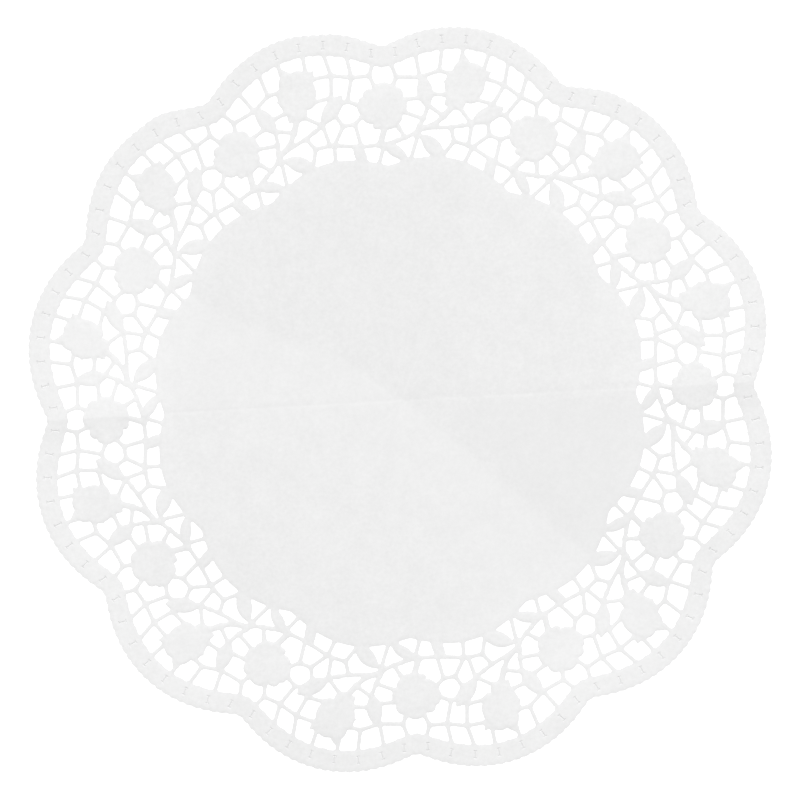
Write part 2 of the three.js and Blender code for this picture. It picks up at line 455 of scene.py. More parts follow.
ROSE = Flower(
    "roseA",
    (
        Petal(-0.8, 6.4, 5.2, 5.0),
        Petal(-6.0, 4.4, 4.6, 4.0, 130),
        Petal(5.2, 4.4, 4.4, 3.6, 50),
        Petal(-7.8, -0.4, 4.0, 4.8),
        Petal(7.9, 0.0, 4.1, 4.6),
        Petal(8.3, 3.2, 2.9, 1.9),
        Petal(-5.4, -5.4, 3.9, 3.9),
        Petal(5.0, -4.9, 4.7, 3.4),
        Petal(-2.8, -6.8, 4.8, 4.4),
        Petal(2.9, -9.1, 2.3, 1.9),
        Petal(-2.6, 1.8, 5.4, 5.0),
        Petal(2.4, 1.6, 5.2, 4.8),
        Petal(0.2, -2.2, 5.6, 4.6),
        Petal(0.0, 0.6, 3.6, 3.4),
        Petal(0.3, 0.9, 1.9, 1.8),
    ),
)

BUD = Flower(
    "roseB",
    (
        Petal(-5.9, 0.4, 4.1, 6.4),
        Petal(5.2, -0.6, 3.9, 6.4),
        Petal(8.7, -0.7, 1.0, 1.0),
        Petal(-3.2, 5.6, 4.8, 5.3),
        Petal(2.0, 5.4, 4.6, 5.6),
        Petal(-4.0, -4.6, 4.4, 4.1),
        Petal(3.4, -5.4, 4.6, 4.6),
        Petal(0.8, -8.6, 3.6, 3.6),
        Petal(-1.2, 0.4, 5.2, 6.4),
        Petal(1.6, 1.0, 4.4, 5.4),
        Petal(0.2, 1.8, 2.6, 3.4),
    ),
)


@dataclass
class Chart:
    """The flat pattern of one repeat: what is paper and what is cut away."""

    bar_width: float = 2.1 * MM
    fillet: float = 1.25 * MM
    outer: LobedEdge = LobedEdge(
        valley=0.1692, rise=0.01134, crest=17.82, softness=0.20, fullness=0.766, wave=0.28 * MM
    )
    band: LobedEdge = LobedEdge(
        valley=0.1592,
        rise=0.01113,
        crest=17.79,
        softness=0.25,
        fullness=0.906,
        teeth=(3.1, 6.6, 10.6, 14.0, 17.8, 21.6, 24.9, 29.7),
        tooth=0.4 * MM,
    )
    mark_line: LobedEdge = LobedEdge(valley=0.1641, rise=0.0107, crest=17.82, softness=0.20, fullness=0.766)
    centre: LobedEdge = LobedEdge(valley=0.1131, rise=0.0058, crest=17.6, softness=0.05, fullness=1.0)
    leaves: tuple[Leaf, ...] = (
        Leaf((15.6, 0.1371), (10.6, 0.1484), 0.0077),
        Leaf((24.65, 0.1406), (26.0, 0.1556), 0.0077),
        Leaf((7.85, 0.1135), (9.9, 0.1243), 0.0056),
        Leaf((19.7, 0.1177), (25.2, 0.1277), 0.0077),
        Leaf((28.1, 0.1162), (33.6, 0.1233), 0.0058),
    )
    sepals: tuple[Leaf, ...] = (
        Leaf((17.2, 0.1565), (14.55, 0.1626), 0.0042, 0.5 * MM),
        Leaf((18.3, 0.1590), (19.7, 0.1676), 0.0046, 0.5 * MM),
        Leaf((20.0, 0.1475), (21.45, 0.1426), 0.0034, 0.5 * MM),
    )
    flowers: tuple[Flower, ...] = (ROSE, BUD)
    stems: list[Stroke] = field(init=False)
    bars: list[Stroke] = field(init=False)

    def __post_init__(self) -> None:
        """Lays out the stems and the bars between the named points."""
        self.stems = [
            Stroke(tuple(tuple(pin_point(name)) for name in stem.split()), width)
            for stem, width in STEMS.items()
        ]
        taken = {frozenset(pair) for stem in STEMS for pair in pairwise(stem.split())}
        self.bars = []
        for ring in OPENINGS:
            names = ring.split()
            for start, end in pairwise((*names, names[0])):
                if start.endswith("+") and end.endswith("+"):
                    start, end = start[:-1], end[:-1]
                side = frozenset((start, end))
                if side not in taken:
                    taken.add(side)
                    line = (tuple(pin_point(start)), tuple(pin_point(end)))
                    self.bars.append(Stroke(line, self.bar_width))

    def neighbours(self, points: np.ndarray) -> list[np.ndarray]:
        """The points as the shapes of the repeat before, of this one and of the next see them."""
        inside = turned(points, -np.floor(np.arctan2(points[:, 1], points[:, 0]) / REPEAT) * REPEAT)
        return [turned(inside, -step * REPEAT) for step in (-1, 0, 1)]

    def motif_clearance(self, points: np.ndarray) -> np.ndarray:
        """How far points lie outside the leaves, sepals and flowers, negative inside."""
        motifs = (*self.leaves, *self.sepals, *self.flowers)
        return least(shape.clearance(seen) for seen in self.neighbours(points) for shape in motifs)

    def openwork(self, points: np.ndarray) -> np.ndarray:
        """How far points lie outside the paper between centre and band, negative inside.

        Args:
            points: Places on the flat sheet, in metres.

        Returns:
            The distance of each, in metres, rounded off in the corners of the net.
        """
        nearest = TwoNearest(len(points))
        nearest.offer(self.centre.clearance(points))
        nearest.offer(-self.band.clearance(points))
        shapes = [*self.bars, *self.stems, *self.leaves, *self.sepals, *self.flowers]
        for seen in self.neighbours(points):
            for shape in shapes:
                nearest.offer(shape.clearance(seen))
        return nearest.filleted(self.fillet)

    def clearance(self, points: np.ndarray) -> np.ndarray:
        """How far points lie outside the paper, negative inside."""
        return np.maximum(self.openwork(points), self.outer.clearance(points))


@dataclass
class OpeningTracer:
    """Finds the outlines of the openings of one repeat, where the chart has no paper."""

    chart: Chart
    step: float = 0.25 * MM
    angles: tuple[float, float] = (-8.0, 38.0)
    radii: tuple[float, float] = (0.106, 0.174)
    smallest: float = 2.6 * MM**2
    coarse: float = 2.0 * MM
    corner_turn: float = 0.5
    shortest: int = 8
    fewest: int = 7
    least_slope: float = 0.2
    longest_move: float = 0.2 * MM

    def loops(self) -> list[np.ndarray]:
        """Traces every opening whose middle lies in the first repeat.

        Returns:
            One closed loop of points for each opening, counter-clockwise.
        """
        rings = np.arange(*self.radii, self.step)
        middle = sum(self.radii) / 2
        angle_step = math.degrees(self.step / middle)
        angles = np.arange(*self.angles, angle_step)
        radius, angle = np.meshgrid(rings, np.radians(angles), indexing="ij")
        nodes = placed(angle, radius)
        value = self.chart.openwork(nodes.reshape(-1, 2)).reshape(radius.shape)
        found = []
        for loop in self.linked(nodes, value):
            if len(loop) < self.shortest:
                continue
            loop = self.projected(self.evenly(loop))
            x, y = loop[:, 0], loop[:, 1]
            area = 0.5 * float(np.sum(x * np.roll(y, -1) - np.roll(x, -1) * y))
            centre = loop.mean(axis=0)
            bearing = math.degrees(math.atan2(centre[1], centre[0]))
            if abs(area) < self.smallest or not 0 <= bearing < 360 / REPEATS:
                continue
            found.append(self.thinned(loop if area > 0 else loop[::-1]))
        return found

    def linked(self, nodes: np.ndarray, value: np.ndarray) -> list[np.ndarray]:
        """Joins the places where the clearance changes sign into closed loops.

        Args:
            nodes: Points of a grid, by row and column.
            value: Their clearance.

        Returns:
            The closed loops; a line that leaves the grid is left out.
        """
        rows, columns = value.shape
        offset = rows * columns
        open_node = value > 0
        flat = open_node[:, 1:] != open_node[:, :-1]
        upright = open_node[1:, :] != open_node[:-1, :]
        places = {}
        for crossing, shift, base in ((flat, (0, 1), 0), (upright, (1, 0), offset)):
            i, j = np.nonzero(crossing)
            near, far = value[i, j], value[i + shift[0], j + shift[1]]
            share = (near / (near - far))[:, None]
            point = nodes[i, j] * (1 - share) + nodes[i + shift[0], j + shift[1]] * share
            places.update(zip((base + i * columns + j).tolist(), point))
        sides = (
            (flat[:-1, :], 0, 0, 0),
            (upright[:, 1:], 0, 1, offset),
            (flat[1:, :], 1, 0, 0),
            (upright[:, :-1], 0, 0, offset),
        )
        count = sum(side[0].astype(int) for side in sides)
        links = {}
        for first, second in combinations(range(4), 2):
            both = sides[first][0] & sides[second][0]
            if (first, second) not in ((0, 3), (1, 2)):
                both = both & (count == 2)
            i, j = np.nonzero(both)
            start, end = (
                (base + (i + down) * columns + j + over).tolist()
                for _, down, over, base in (sides[first], sides[second])
            )
            for one, other in zip(start, end):
                links.setdefault(one, []).append(other)
                links.setdefault(other, []).append(one)
        loops, seen = [], set()
        for start in links:
            path, here, before = [], start, None
            while here not in seen:
                seen.add(here)
                path.append(here)
                ahead = [name for name in links[here] if name != before]
                before, here = here, (ahead or [before])[0]
            if here == start and len(path) > 2:
                loops.append(np.array([places[name] for name in path]))
        return loops

    def evenly(self, loop: np.ndarray) -> np.ndarray:
        """The loop with points an even small step apart."""
        length = np.linalg.norm(np.roll(loop, -1, axis=0) - loop, axis=1)
        return self.spaced(loop, length / self.step)

    def spaced(self, loop: np.ndarray, weight: np.ndarray) -> np.ndarray:
        """The loop with new points, about one for each whole of the weights of its sides.

        Args:
            loop: A closed loop of points.
            weight: The weight of each side.

        Returns:
            The new loop, on the same line.
        """
        ring = np.vstack((loop, loop[:1]))
        run = np.concatenate(([0.0], np.cumsum(weight)))
        count = max(self.fewest, round(run[-1]))
        at = np.arange(count) * run[-1] / count
        return np.stack([np.interp(at, run, ring[:, axis]) for axis in (0, 1)], axis=1)

    def slope(self, points: np.ndarray) -> np.ndarray:
        """The direction in which the clearance grows, by how much.

        Args:
            points: Places on the flat sheet, in metres.

        Returns:
            For each the growth by x and by y, about 1 long beside an edge.
        """
        openwork, reach = self.chart.openwork, 0.02 * MM
        return np.stack([
            (openwork(points + shift) - openwork(points - shift)) / (2 * reach)
            for shift in np.eye(2) * reach
        ], axis=1)

    def projected(self, points: np.ndarray) -> np.ndarray:
        """The points moved on to the edge of the paper.

        Args:
            points: Places close to an edge of the paper.

        Returns:
            The same places on the edge.
        """
        slope = self.slope(points)
        size = np.maximum((slope**2).sum(axis=1), self.least_slope)
        move = np.clip(self.chart.openwork(points) / size, -self.longest_move, self.longest_move)
        return points - slope * move[:, None]

    def thinned(self, loop: np.ndarray) -> np.ndarray:
        """The loop with fewer points: close in its corners, further apart along its sides.

        Args:
            loop: A closed loop with even sides.

        Returns:
            A loop with fewer points on the same line.
        """
        side = np.roll(loop, -1, axis=0) - loop
        length = np.linalg.norm(side, axis=1)
        heading = np.arctan2(side[:, 1], side[:, 0])
        turn = np.abs((heading - np.roll(heading, 1) + np.pi) % (2 * np.pi) - np.pi)
        turn = (turn + np.roll(turn, 1) + np.roll(turn, -1)) / 3
        return self.spaced(loop, length / self.coarse + (turn + np.roll(turn, -1)) / 2 / self.corner_turn)


@dataclass(frozen=True)
class SlitMark:
    """A mark pressed into the band: a line with a short cap across each end."""

    half_length: float = 2.15 * MM
    half_cap: float = 0.92 * MM
    half_line: float = 0.41 * MM
    depth: float = 0.24 * MM

    def frame_of(self, chart: Chart, angle: float, tilt: float) -> tuple[np.ndarray, np.ndarray, np.ndarray]:
        """The mark's middle and its directions around and outwards, tilted from the radius.

        Args:
            chart: The chart, for the line of the marks.
            angle: The mark's angle in degrees.
            tilt: Its tilt in degrees.

        Returns:
            The middle in metres and the two directions.
        """
        middle = polar(angle, float(chart.mark_line.radius(np.array(angle))))
        out = polar(angle + tilt, 1.0)
        return middle, left_of(out), out

    def outline(self) -> list[tuple[float, float]]:
        """The corners of the mark, around and outwards.

        Returns:
            The corners in metres, counter-clockwise.
        """
        a, t, h = self.half_cap, self.half_line, self.half_length
        inner = h - 2 * t
        return [
            (-a, -h), (a, -h), (a, -inner), (t, -inner), (t, inner), (a, inner),
            (a, h), (-a, h), (-a, inner), (-t, inner), (-t, -inner), (-a, -inner),
        ]

    def spine(self) -> list[tuple[float, float]]:
        """The ends of the mark's middle lines: one cap, the other, and between them."""
        reach, top = self.half_cap - self.half_line, self.half_length - self.half_line
        return [(-reach, -top), (0.0, -top), (reach, -top), (-reach, top), (0.0, top), (reach, top)]

    def depth_at(self, around: np.ndarray, out: np.ndarray) -> np.ndarray:
        """How deep the mark is pressed at places around and outwards from its middle.

        Args:
            around: Places around from the mark's middle, in metres.
            out: The same outwards.

        Returns:
            The depth at each, in metres.
        """
        points, spine = np.stack((around, out), axis=1), self.spine()
        lines = [Stroke((spine[first], spine[last]), 0.0) for first, last in ((0, 2), (3, 5), (1, 4))]
        nearest = least(line.distance(points) for line in lines)
        return self.depth * np.clip(1 - nearest / self.half_line, 0.0, 1.0)


@dataclass
class Relief:
    """The embossing: how high the paper's upper face stands over its under face."""

    chart: Chart
    cut_edge: float = 0.30 * MM
    dome: float = 0.155 * MM
    dome_run: float = 2.1 * MM
    lip: float = 0.012 * MM
    lip_place: float = 1.9 * MM
    lip_width: float = 0.9 * MM
    stem: float = 0.03 * MM
    leaf: float = 0.045 * MM
    midrib: float = 0.055 * MM
    vein: float = 0.015 * MM
    petal_step: float = 0.032 * MM
    petal_growth: float = 0.10
    petal_cup: float = 0.07 * MM
    petal_crown: float = 0.5
    petal_tilt: float = 0.35
    petal_edge: float = 0.7 * MM
    petal_run: float = 4.5 * MM
    flower_reach: float = 18.0 * MM
    leaf_run: float = 1.3 * MM
    midrib_width: float = 0.42 * MM
    midrib_end: tuple[float, float] = (1.0, 0.82)
    midrib_from: tuple[float, float] = (0.0, 0.4)
    vein_slant: float = 1.1
    vein_step: float = 1.5 * MM
    vein_from: tuple[float, float] = (0.3, 1.0)
    flute: float = 0.02 * MM
    flute_fade: tuple[float, float] = (3.2 * MM, 0.6 * MM)
    mark_reach: float = 4.0 * MM
    mark: SlitMark = SlitMark()
    marks: tuple[tuple[float, float], ...] = (
        (0.75, 4), (4.7, -3), (8.4, -22), (12.1, -13), (15.87, -6), (19.67, 5), (23.42, 13), (27.2, 22)
    )

    def height(self, points: np.ndarray) -> np.ndarray:
        """The height of the upper face over the under face.

        Args:
            points: Places on the flat sheet, in metres.

        Returns:
            The height at each, in metres.
        """
        chart = self.chart
        inside = np.clip(-chart.clearance(points) / self.dome_run, 0, 1)
        height = self.cut_edge + self.dome * np.sin(np.pi / 2 * inside)
        along_lip = (chart.band.clearance(points) - self.lip_place) / self.lip_width
        height += self.lip * np.exp(-(along_lip**2))
        for seen in chart.neighbours(points):
            for stem in chart.stems:
                share = np.clip(1 - (stem.distance(seen) / (stem.width / 2)) ** 2, 0, 1)
                height += self.stem * share
            for leaf in (*chart.leaves, *chart.sepals):
                height += self.leaf_height(leaf, seen)
            for flower in chart.flowers:
                height += self.flower_height(flower, seen)
        return height + self.fluting(points) - self.pressed(points)

    def by_mark(self, points: np.ndarray) -> Iterator[tuple[np.ndarray, np.ndarray, np.ndarray]]:
        """For each mark of the band, which points lie near it and their places around and out from it.

        Args:
            points: Places on the flat sheet, in metres.

        Yields:
            For each mark a mask of the near points, and their places around and out from it.
        """
        for seen in self.chart.neighbours(points):
            for angle, tilt in self.marks:
                middle, around, out = self.mark.frame_of(self.chart, angle, tilt)
                offset = seen - middle
                near = np.hypot(offset[:, 0], offset[:, 1]) < self.mark_reach
                yield near, offset[near] @ around, offset[near] @ out

    def pressed(self, points: np.ndarray) -> np.ndarray:
        """How deep the marks of the band are pressed in at points.

        Args:
            points: Places on the flat sheet, in metres.

        Returns:
            The depth at each, in metres.
        """
        depth = np.zeros(len(points))
        for near, around, out in self.by_mark(points):
            depth[near] = np.maximum(depth[near], self.mark.depth_at(around, out))
        return depth

    def clear_of_marks(self, points: np.ndarray, gap: float) -> np.ndarray:
        """Whether points keep a gap from every mark of the band.

        Args:
            points: Places on the flat sheet, in metres.
            gap: The least distance from a mark's corners.

        Returns:
            True for each point that keeps it.
        """
        clear = np.ones(len(points), dtype=bool)
        for near, around, out in self.by_mark(points):
            beside = np.abs(around) > self.mark.half_cap + gap
            clear[near] &= beside | (np.abs(out) > self.mark.half_length + gap)
        return clear

    def leaf_height(self, leaf: Leaf, seen: np.ndarray) -> np.ndarray:
        """The swelling of a leaf, with its midrib and slanting veins pressed in.

        Args:
            leaf: The leaf or sepal.
            seen: Places as its repeat sees them.

        Returns:
            The height at each, in metres.
        """
        across, along, half = leaf.local(seen)
        inside = np.clip(-leaf.clearance(seen) / self.leaf_run, 0, 1)
        swell = self.leaf * np.sin(np.pi / 2 * inside)
        rib = self.midrib * np.exp(-((across / self.midrib_width) ** 2))
        rib = rib * soft_step(*self.midrib_end, np.abs(along) / half)
        slant = (along - self.vein_slant * np.abs(across)) / self.vein_step
        veins = self.vein * np.cos(2 * np.pi * slant) * soft_step(*self.vein_from, inside)
        return swell - rib * soft_step(*self.midrib_from, inside) + veins

    def flower_height(self, flower: Flower, seen: np.ndarray) -> np.ndarray:
        """The overlapping petals of a flower, each cupped and a step over the one behind.

        Args:
            flower: The rose or the bud.
            seen: Places as its repeat sees them.

        Returns:
            The height at each, in metres.
        """
        around, out = flower.local(seen)
        near = np.hypot(around, out) < self.flower_reach
        height = np.zeros(len(seen))
        u, v = around[near], out[near]
        level = np.zeros(len(u))
        middle = np.hypot(u, v)
        for number, petal in enumerate(flower.petals):
            cover = soft_step(0.0, self.petal_edge, -petal.clearance(u, v))
            x, y = petal.local(u, v)
            share = np.clip(np.hypot(x, y), 0, 1)
            lift = np.clip((middle - np.hypot(petal.around, petal.out) * MM) / self.petal_run, -1.0, 1.0)
            top = self.petal_step * (1 + number * self.petal_growth)
            top = top + self.petal_cup * (self.petal_crown * share**2 + self.petal_tilt * lift)
            level = level * (1 - cover) + cover * top
        height[near] = level
        return height

    def fluting(self, points: np.ndarray) -> np.ndarray:
        """The fine waves of the outer edge, fading inwards.

        Args:
            points: Places on the flat sheet, in metres.

        Returns:
            The height at each, in metres.
        """
        outer = self.chart.outer
        angle = np.degrees(np.arctan2(points[:, 1], points[:, 0]))
        fade = soft_step(*self.flute_fade, -outer.clearance(points))
        wave = np.cos(np.radians(outer.waves * REPEATS * (angle - outer.wave_crest)))
        return self.flute * fade * (1 + wave)


@dataclass(frozen=True)
class Patch:
    """A soft oval region: its middle and half sizes in millimetres, its turn in degrees and its amount."""

    middle: tuple[float, float]
    half_length: float
    half_width: float
    turn: float
    amount: float

    def at(self, points: np.ndarray) -> np.ndarray:
        """The patch's amount at points: full in its middle, fading outwards.

        Args:
            points: Places on the flat sheet, in metres.

        Returns:
            The amount at each.
        """
        direction = polar(self.turn, 1.0)
        offset = points - np.array(self.middle) * MM
        along = offset @ direction / (self.half_length * MM)
        across = offset @ left_of(direction) / (self.half_width * MM)
        return self.amount * np.exp(-(along**2 + across**2))


@dataclass(frozen=True)
class Facet:
    """A region with straight, slightly soft sides: its corners in millimetres, counter-clockwise."""

    corners: tuple[tuple[float, float], ...]
    softness: float
    amount: float

    def at(self, points: np.ndarray) -> np.ndarray:
        """The facet's amount at points: full inside, nothing outside.

        Args:
            points: Places on the flat sheet, in metres.

        Returns:
            The amount at each.
        """
        corners = np.array(self.corners) * MM
        share = np.ones(len(points))
        for start, end in zip(corners, np.roll(corners, -1, axis=0)):
            along = (end - start) / np.linalg.norm(end - start)
            inside = (points - start) @ left_of(along)
            share = share * soft_step(-self.softness * MM, self.softness * MM, inside)
        return self.amount * share


@dataclass(frozen=True)
class Crease:
    """A soft valley, with painted light and shade beside it: its line from its left end and its widths in
    millimetres.
    """

    line: tuple[tuple[float, float], ...]
    slope: float
    reach: float
    bend: float
    # Painted light and shade beside the valley, in levels: above it and below it.
    light_and_shade_above: float
    reach_above: float
    light_and_shade_below: float
    beyond: float = 5.0
    blend: float = 1.5
    degree: int = 5

    def away(self, points: np.ndarray) -> np.ndarray:
        """How far points lie above the smooth line through the crease's places.

        Args:
            points: Places on the flat sheet, in metres.

        Returns:
            The distance of each, in metres, negative below.
        """
        places = np.array(self.line)
        along = (places[-1] - places[0]) / np.linalg.norm(places[-1] - places[0])
        axes = np.stack((along, left_of(along)), axis=1)
        known = (places - places[0]) @ axes
        course = np.polynomial.Polynomial.fit(known[:, 0], known[:, 1], self.degree)
        seen = (points / MM - places[0]) @ axes
        bounded = np.clip(seen[:, 0], -self.beyond, known[-1, 0] + self.beyond)
        return (seen[:, 1] - course(bounded)) * MM

    def rise(self, points: np.ndarray) -> np.ndarray:
        """How far the sheet stands over the bottom of the valley at points.

        Args:
            points: Places on the flat sheet, in metres.

        Returns:
            The height at each, in metres.
        """
        away = np.hypot(self.away(points), self.bend * MM) - self.bend * MM
        reach = self.reach * MM
        return self.slope * reach * (1 - np.exp(-away / reach))

    def below(self, points: np.ndarray) -> np.ndarray:
        """How fully points lie below the crease, fading away from it."""
        away = self.away(points)
        return soft_step(self.bend * MM, -self.bend * MM, away) * np.exp(-np.abs(away) / (self.reach * MM))

    def tone(self, points: np.ndarray) -> np.ndarray:
        """How much lighter or darker the sheet is painted beside the crease, fading away from it: painted
        light and shade.

        Args:
            points: Places on the flat sheet, in metres.

        Returns:
            The painted light at each, in levels, negative for painted shade.
        """
        away = self.away(points)
        above = soft_step(-self.blend * MM, self.blend * MM, away)
        above = above * np.exp(-np.abs(away) / (self.reach_above * MM))
        return self.light_and_shade_above * above + self.light_and_shade_below * self.below(points)


@dataclass(frozen=True)
class Ridge:
    """A low ridge, steep below and gentle above: its line from its left end and its widths in millimetres,
    its height in metres."""

    line: tuple[tuple[float, float], tuple[float, float]]
    height: float
    steep: float
    gentle: float
    run_out: float = 6.0

    def rise(self, points: np.ndarray) -> np.ndarray:
        """How high the ridge stands at points, running out softly at both ends.

        Args:
            points: Places on the flat sheet, in metres.

        Returns:
            The height at each, in metres.
        """
        start, end = np.array(self.line) * MM
        length = float(np.linalg.norm(end - start))
        course = (end - start) / length
        along = (points - start) @ course
        away = (points - start) @ left_of(course)
        run_out = self.run_out * MM
        inside = soft_step(-run_out, run_out, along) * soft_step(length + run_out, length - run_out, along)
        flank = soft_step(-self.steep * MM, 0.0, away) * np.exp(-np.maximum(away, 0.0) / (self.gentle * MM))
        return self.height * inside * flank


SLANTING_CREASE = Crease(
    line=((-104, 54.5), (-93.6, 48.5), (-70.2, 35.1), (-37.7, 24.6), (0.5, 2.1), (48, -37), (95, -78)),
    slope=0.020,
    reach=45,
    bend=2.6,
    # Painted shade above the crease and painted light below it, in levels.
    light_and_shade_above=-0.9,
    reach_above=9,
    light_and_shade_below=1.0,
)
LOW_RIDGE = Ridge(line=((-73, -19), (-12, -51)), height=0.28 * MM, steep=11, gentle=40)


@dataclass
class Folds:
    """How the sheet lies: the pressed fold across it, a slanting crease, a low ridge and humps."""

    turn: float = 3.1
    over: float = 0.76 * MM
    half_line: float = 176.0
    groove: float = 0.072 * MM
    groove_place: float = 0.52 * MM
    groove_width: float = 0.75 * MM
    groove_beyond: tuple[float, float] = (0.66 * MM, 2.6 * MM)
    groove_widens: tuple[float, float] = (-0.090, 0.030)
    height: float = 0.90 * MM
    steep_width: float = 14.0 * MM
    gentle_width: float = 55.0 * MM
    sharpness: float = 1.5
    ends: tuple[float, float] = (0.108, 0.130)
    crease: Crease = SLANTING_CREASE
    ridge: Ridge = LOW_RIDGE
    settle: tuple[float, float] = (0.120, 0.178)
    humps: tuple[Patch, ...] = (
        Patch((-60, -85), 70, 45, 20, 0.0004),
        Patch((80, 70), 90, 60, -10, 0.0003),
    )

    def fold_line(self) -> tuple[tuple[float, float], tuple[float, float]]:
        """The ends of the pressed fold, in millimetres."""
        reach, middle = polar(self.turn, self.half_line), np.array((0.0, self.over / MM))
        return tuple(middle - reach), tuple(middle + reach)

    def along_fold(self, points: np.ndarray) -> tuple[np.ndarray, np.ndarray]:
        """The places of points along the pressed fold and above it."""
        offset, direction = points - np.array((0.0, self.over)), polar(self.turn, 1.0)
        return offset @ direction, offset @ left_of(direction)

    def pressed(self, along: np.ndarray, above: np.ndarray) -> np.ndarray:
        """How deep the fold line is pressed in: steep below, and flatter above towards its right end.

        Args:
            along: Places along the fold, in metres.
            above: Places above it.

        Returns:
            The depth at each, in metres.
        """
        narrow, wide = self.groove_beyond
        beyond = narrow + (wide - narrow) * soft_step(*self.groove_widens, along)
        away = above - self.groove_place
        width = np.where(away > 0, beyond, self.groove_width)
        return self.groove * np.exp(-((away / width) ** 2))

    def lift(self, points: np.ndarray) -> np.ndarray:
        """How far the sheet lies over the table at points.

        Args:
            points: Places on the flat sheet, in metres.

        Returns:
            The height of the under face at each, in metres.
        """
        along, above = self.along_fold(points)
        end = soft_step(*self.ends, np.abs(along))
        width = np.where(above > 0, self.gentle_width, self.steep_width)
        share = np.clip(1 - np.abs(above) / width, 0, 1)
        lift = self.height * end * share**self.sharpness
        lift = lift - self.pressed(along, above) * (1 - end)
        reach = np.hypot(points[:, 0], points[:, 1])
        settled = 1 - soft_step(*self.settle, reach)
        lift = lift + (self.crease.rise(points) + self.ridge.rise(points)) * settled
        for hump in self.humps:
            lift = lift + hump.at(points)
        return np.maximum(lift, 0.0)


@dataclass(frozen=True)
class Unevenness:
    """How far the real sheet departs from its true circle: slightly stretched and pulled in at the fold."""

    edge: float = 0.168
    outwards: tuple[float, ...] = (0.05, 0.20, -0.33, 0.10)
    around: tuple[float, ...] = (0.10, 0.0, 0.15, -0.12)
    pull: float = 0.35 * MM
    pull_reach: float = 22.0 * MM
    pull_blend: float = 1.5 * MM
    spread: float = 0.15
    bulge_depth: float = 4.0 * MM
    bulges: tuple[Patch, ...] = (
        Patch((-113, 135), 8, 8, 0, 1.2),
        Patch((-130, 117), 38, 14, 42, 0.4),
        Patch((-60, 162), 30, 12, 20, 0.3),
        Patch((-41, 170), 8, 8, 0, -1.0),
        Patch((26, 168), 6, 8, 0, -0.7),
        Patch((66, 163), 25, 12, -22, 0.15),
        Patch((98, 145), 7, 7, 0, 0.7),
        Patch((160, 70), 26, 12, -66, -0.3),
    )

    def swing(self, angle: np.ndarray, shares: tuple[float, ...]) -> np.ndarray:
        """A slow wave around the sheet, in millimetres at its edge."""
        waves = (np.cos(angle), np.sin(angle), np.cos(2 * angle), np.sin(2 * angle))
        return sum(share * wave for share, wave in zip(shares, waves)) * MM

    def moved(self, points: np.ndarray, chart: Chart, folds: Folds) -> np.ndarray:
        """The points of the true pattern as the real sheet has them.

        Args:
            points: Places of the true pattern, in metres.
            chart: The chart, for the outer edge.
            folds: The folds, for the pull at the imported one.

        Returns:
            The places on the real sheet.
        """
        reach = np.hypot(points[:, 0], points[:, 1])
        angle = np.arctan2(points[:, 1], points[:, 0])
        out = points / np.maximum(reach, 1e-6)[:, None]
        side = np.stack((-out[:, 1], out[:, 0]), axis=1)
        share = (reach / self.edge) ** 2
        push = share * self.swing(angle, self.outwards)
        at_edge = soft_step(-self.bulge_depth, 0.0, chart.outer.clearance(points))
        outwards = self.spread + sum(bulge.at(points) for bulge in self.bulges)
        push = push + outwards * at_edge * MM
        moved = points + push[:, None] * out + (share * self.swing(angle, self.around))[:, None] * side
        along, above = folds.along_fold(points)
        end = soft_step(*folds.ends, np.abs(along))
        side_of_fold = above / np.hypot(above, self.pull_blend)
        moved[:, 1] -= self.pull * end * side_of_fold * np.exp(-np.abs(above) / self.pull_reach)
        return moved


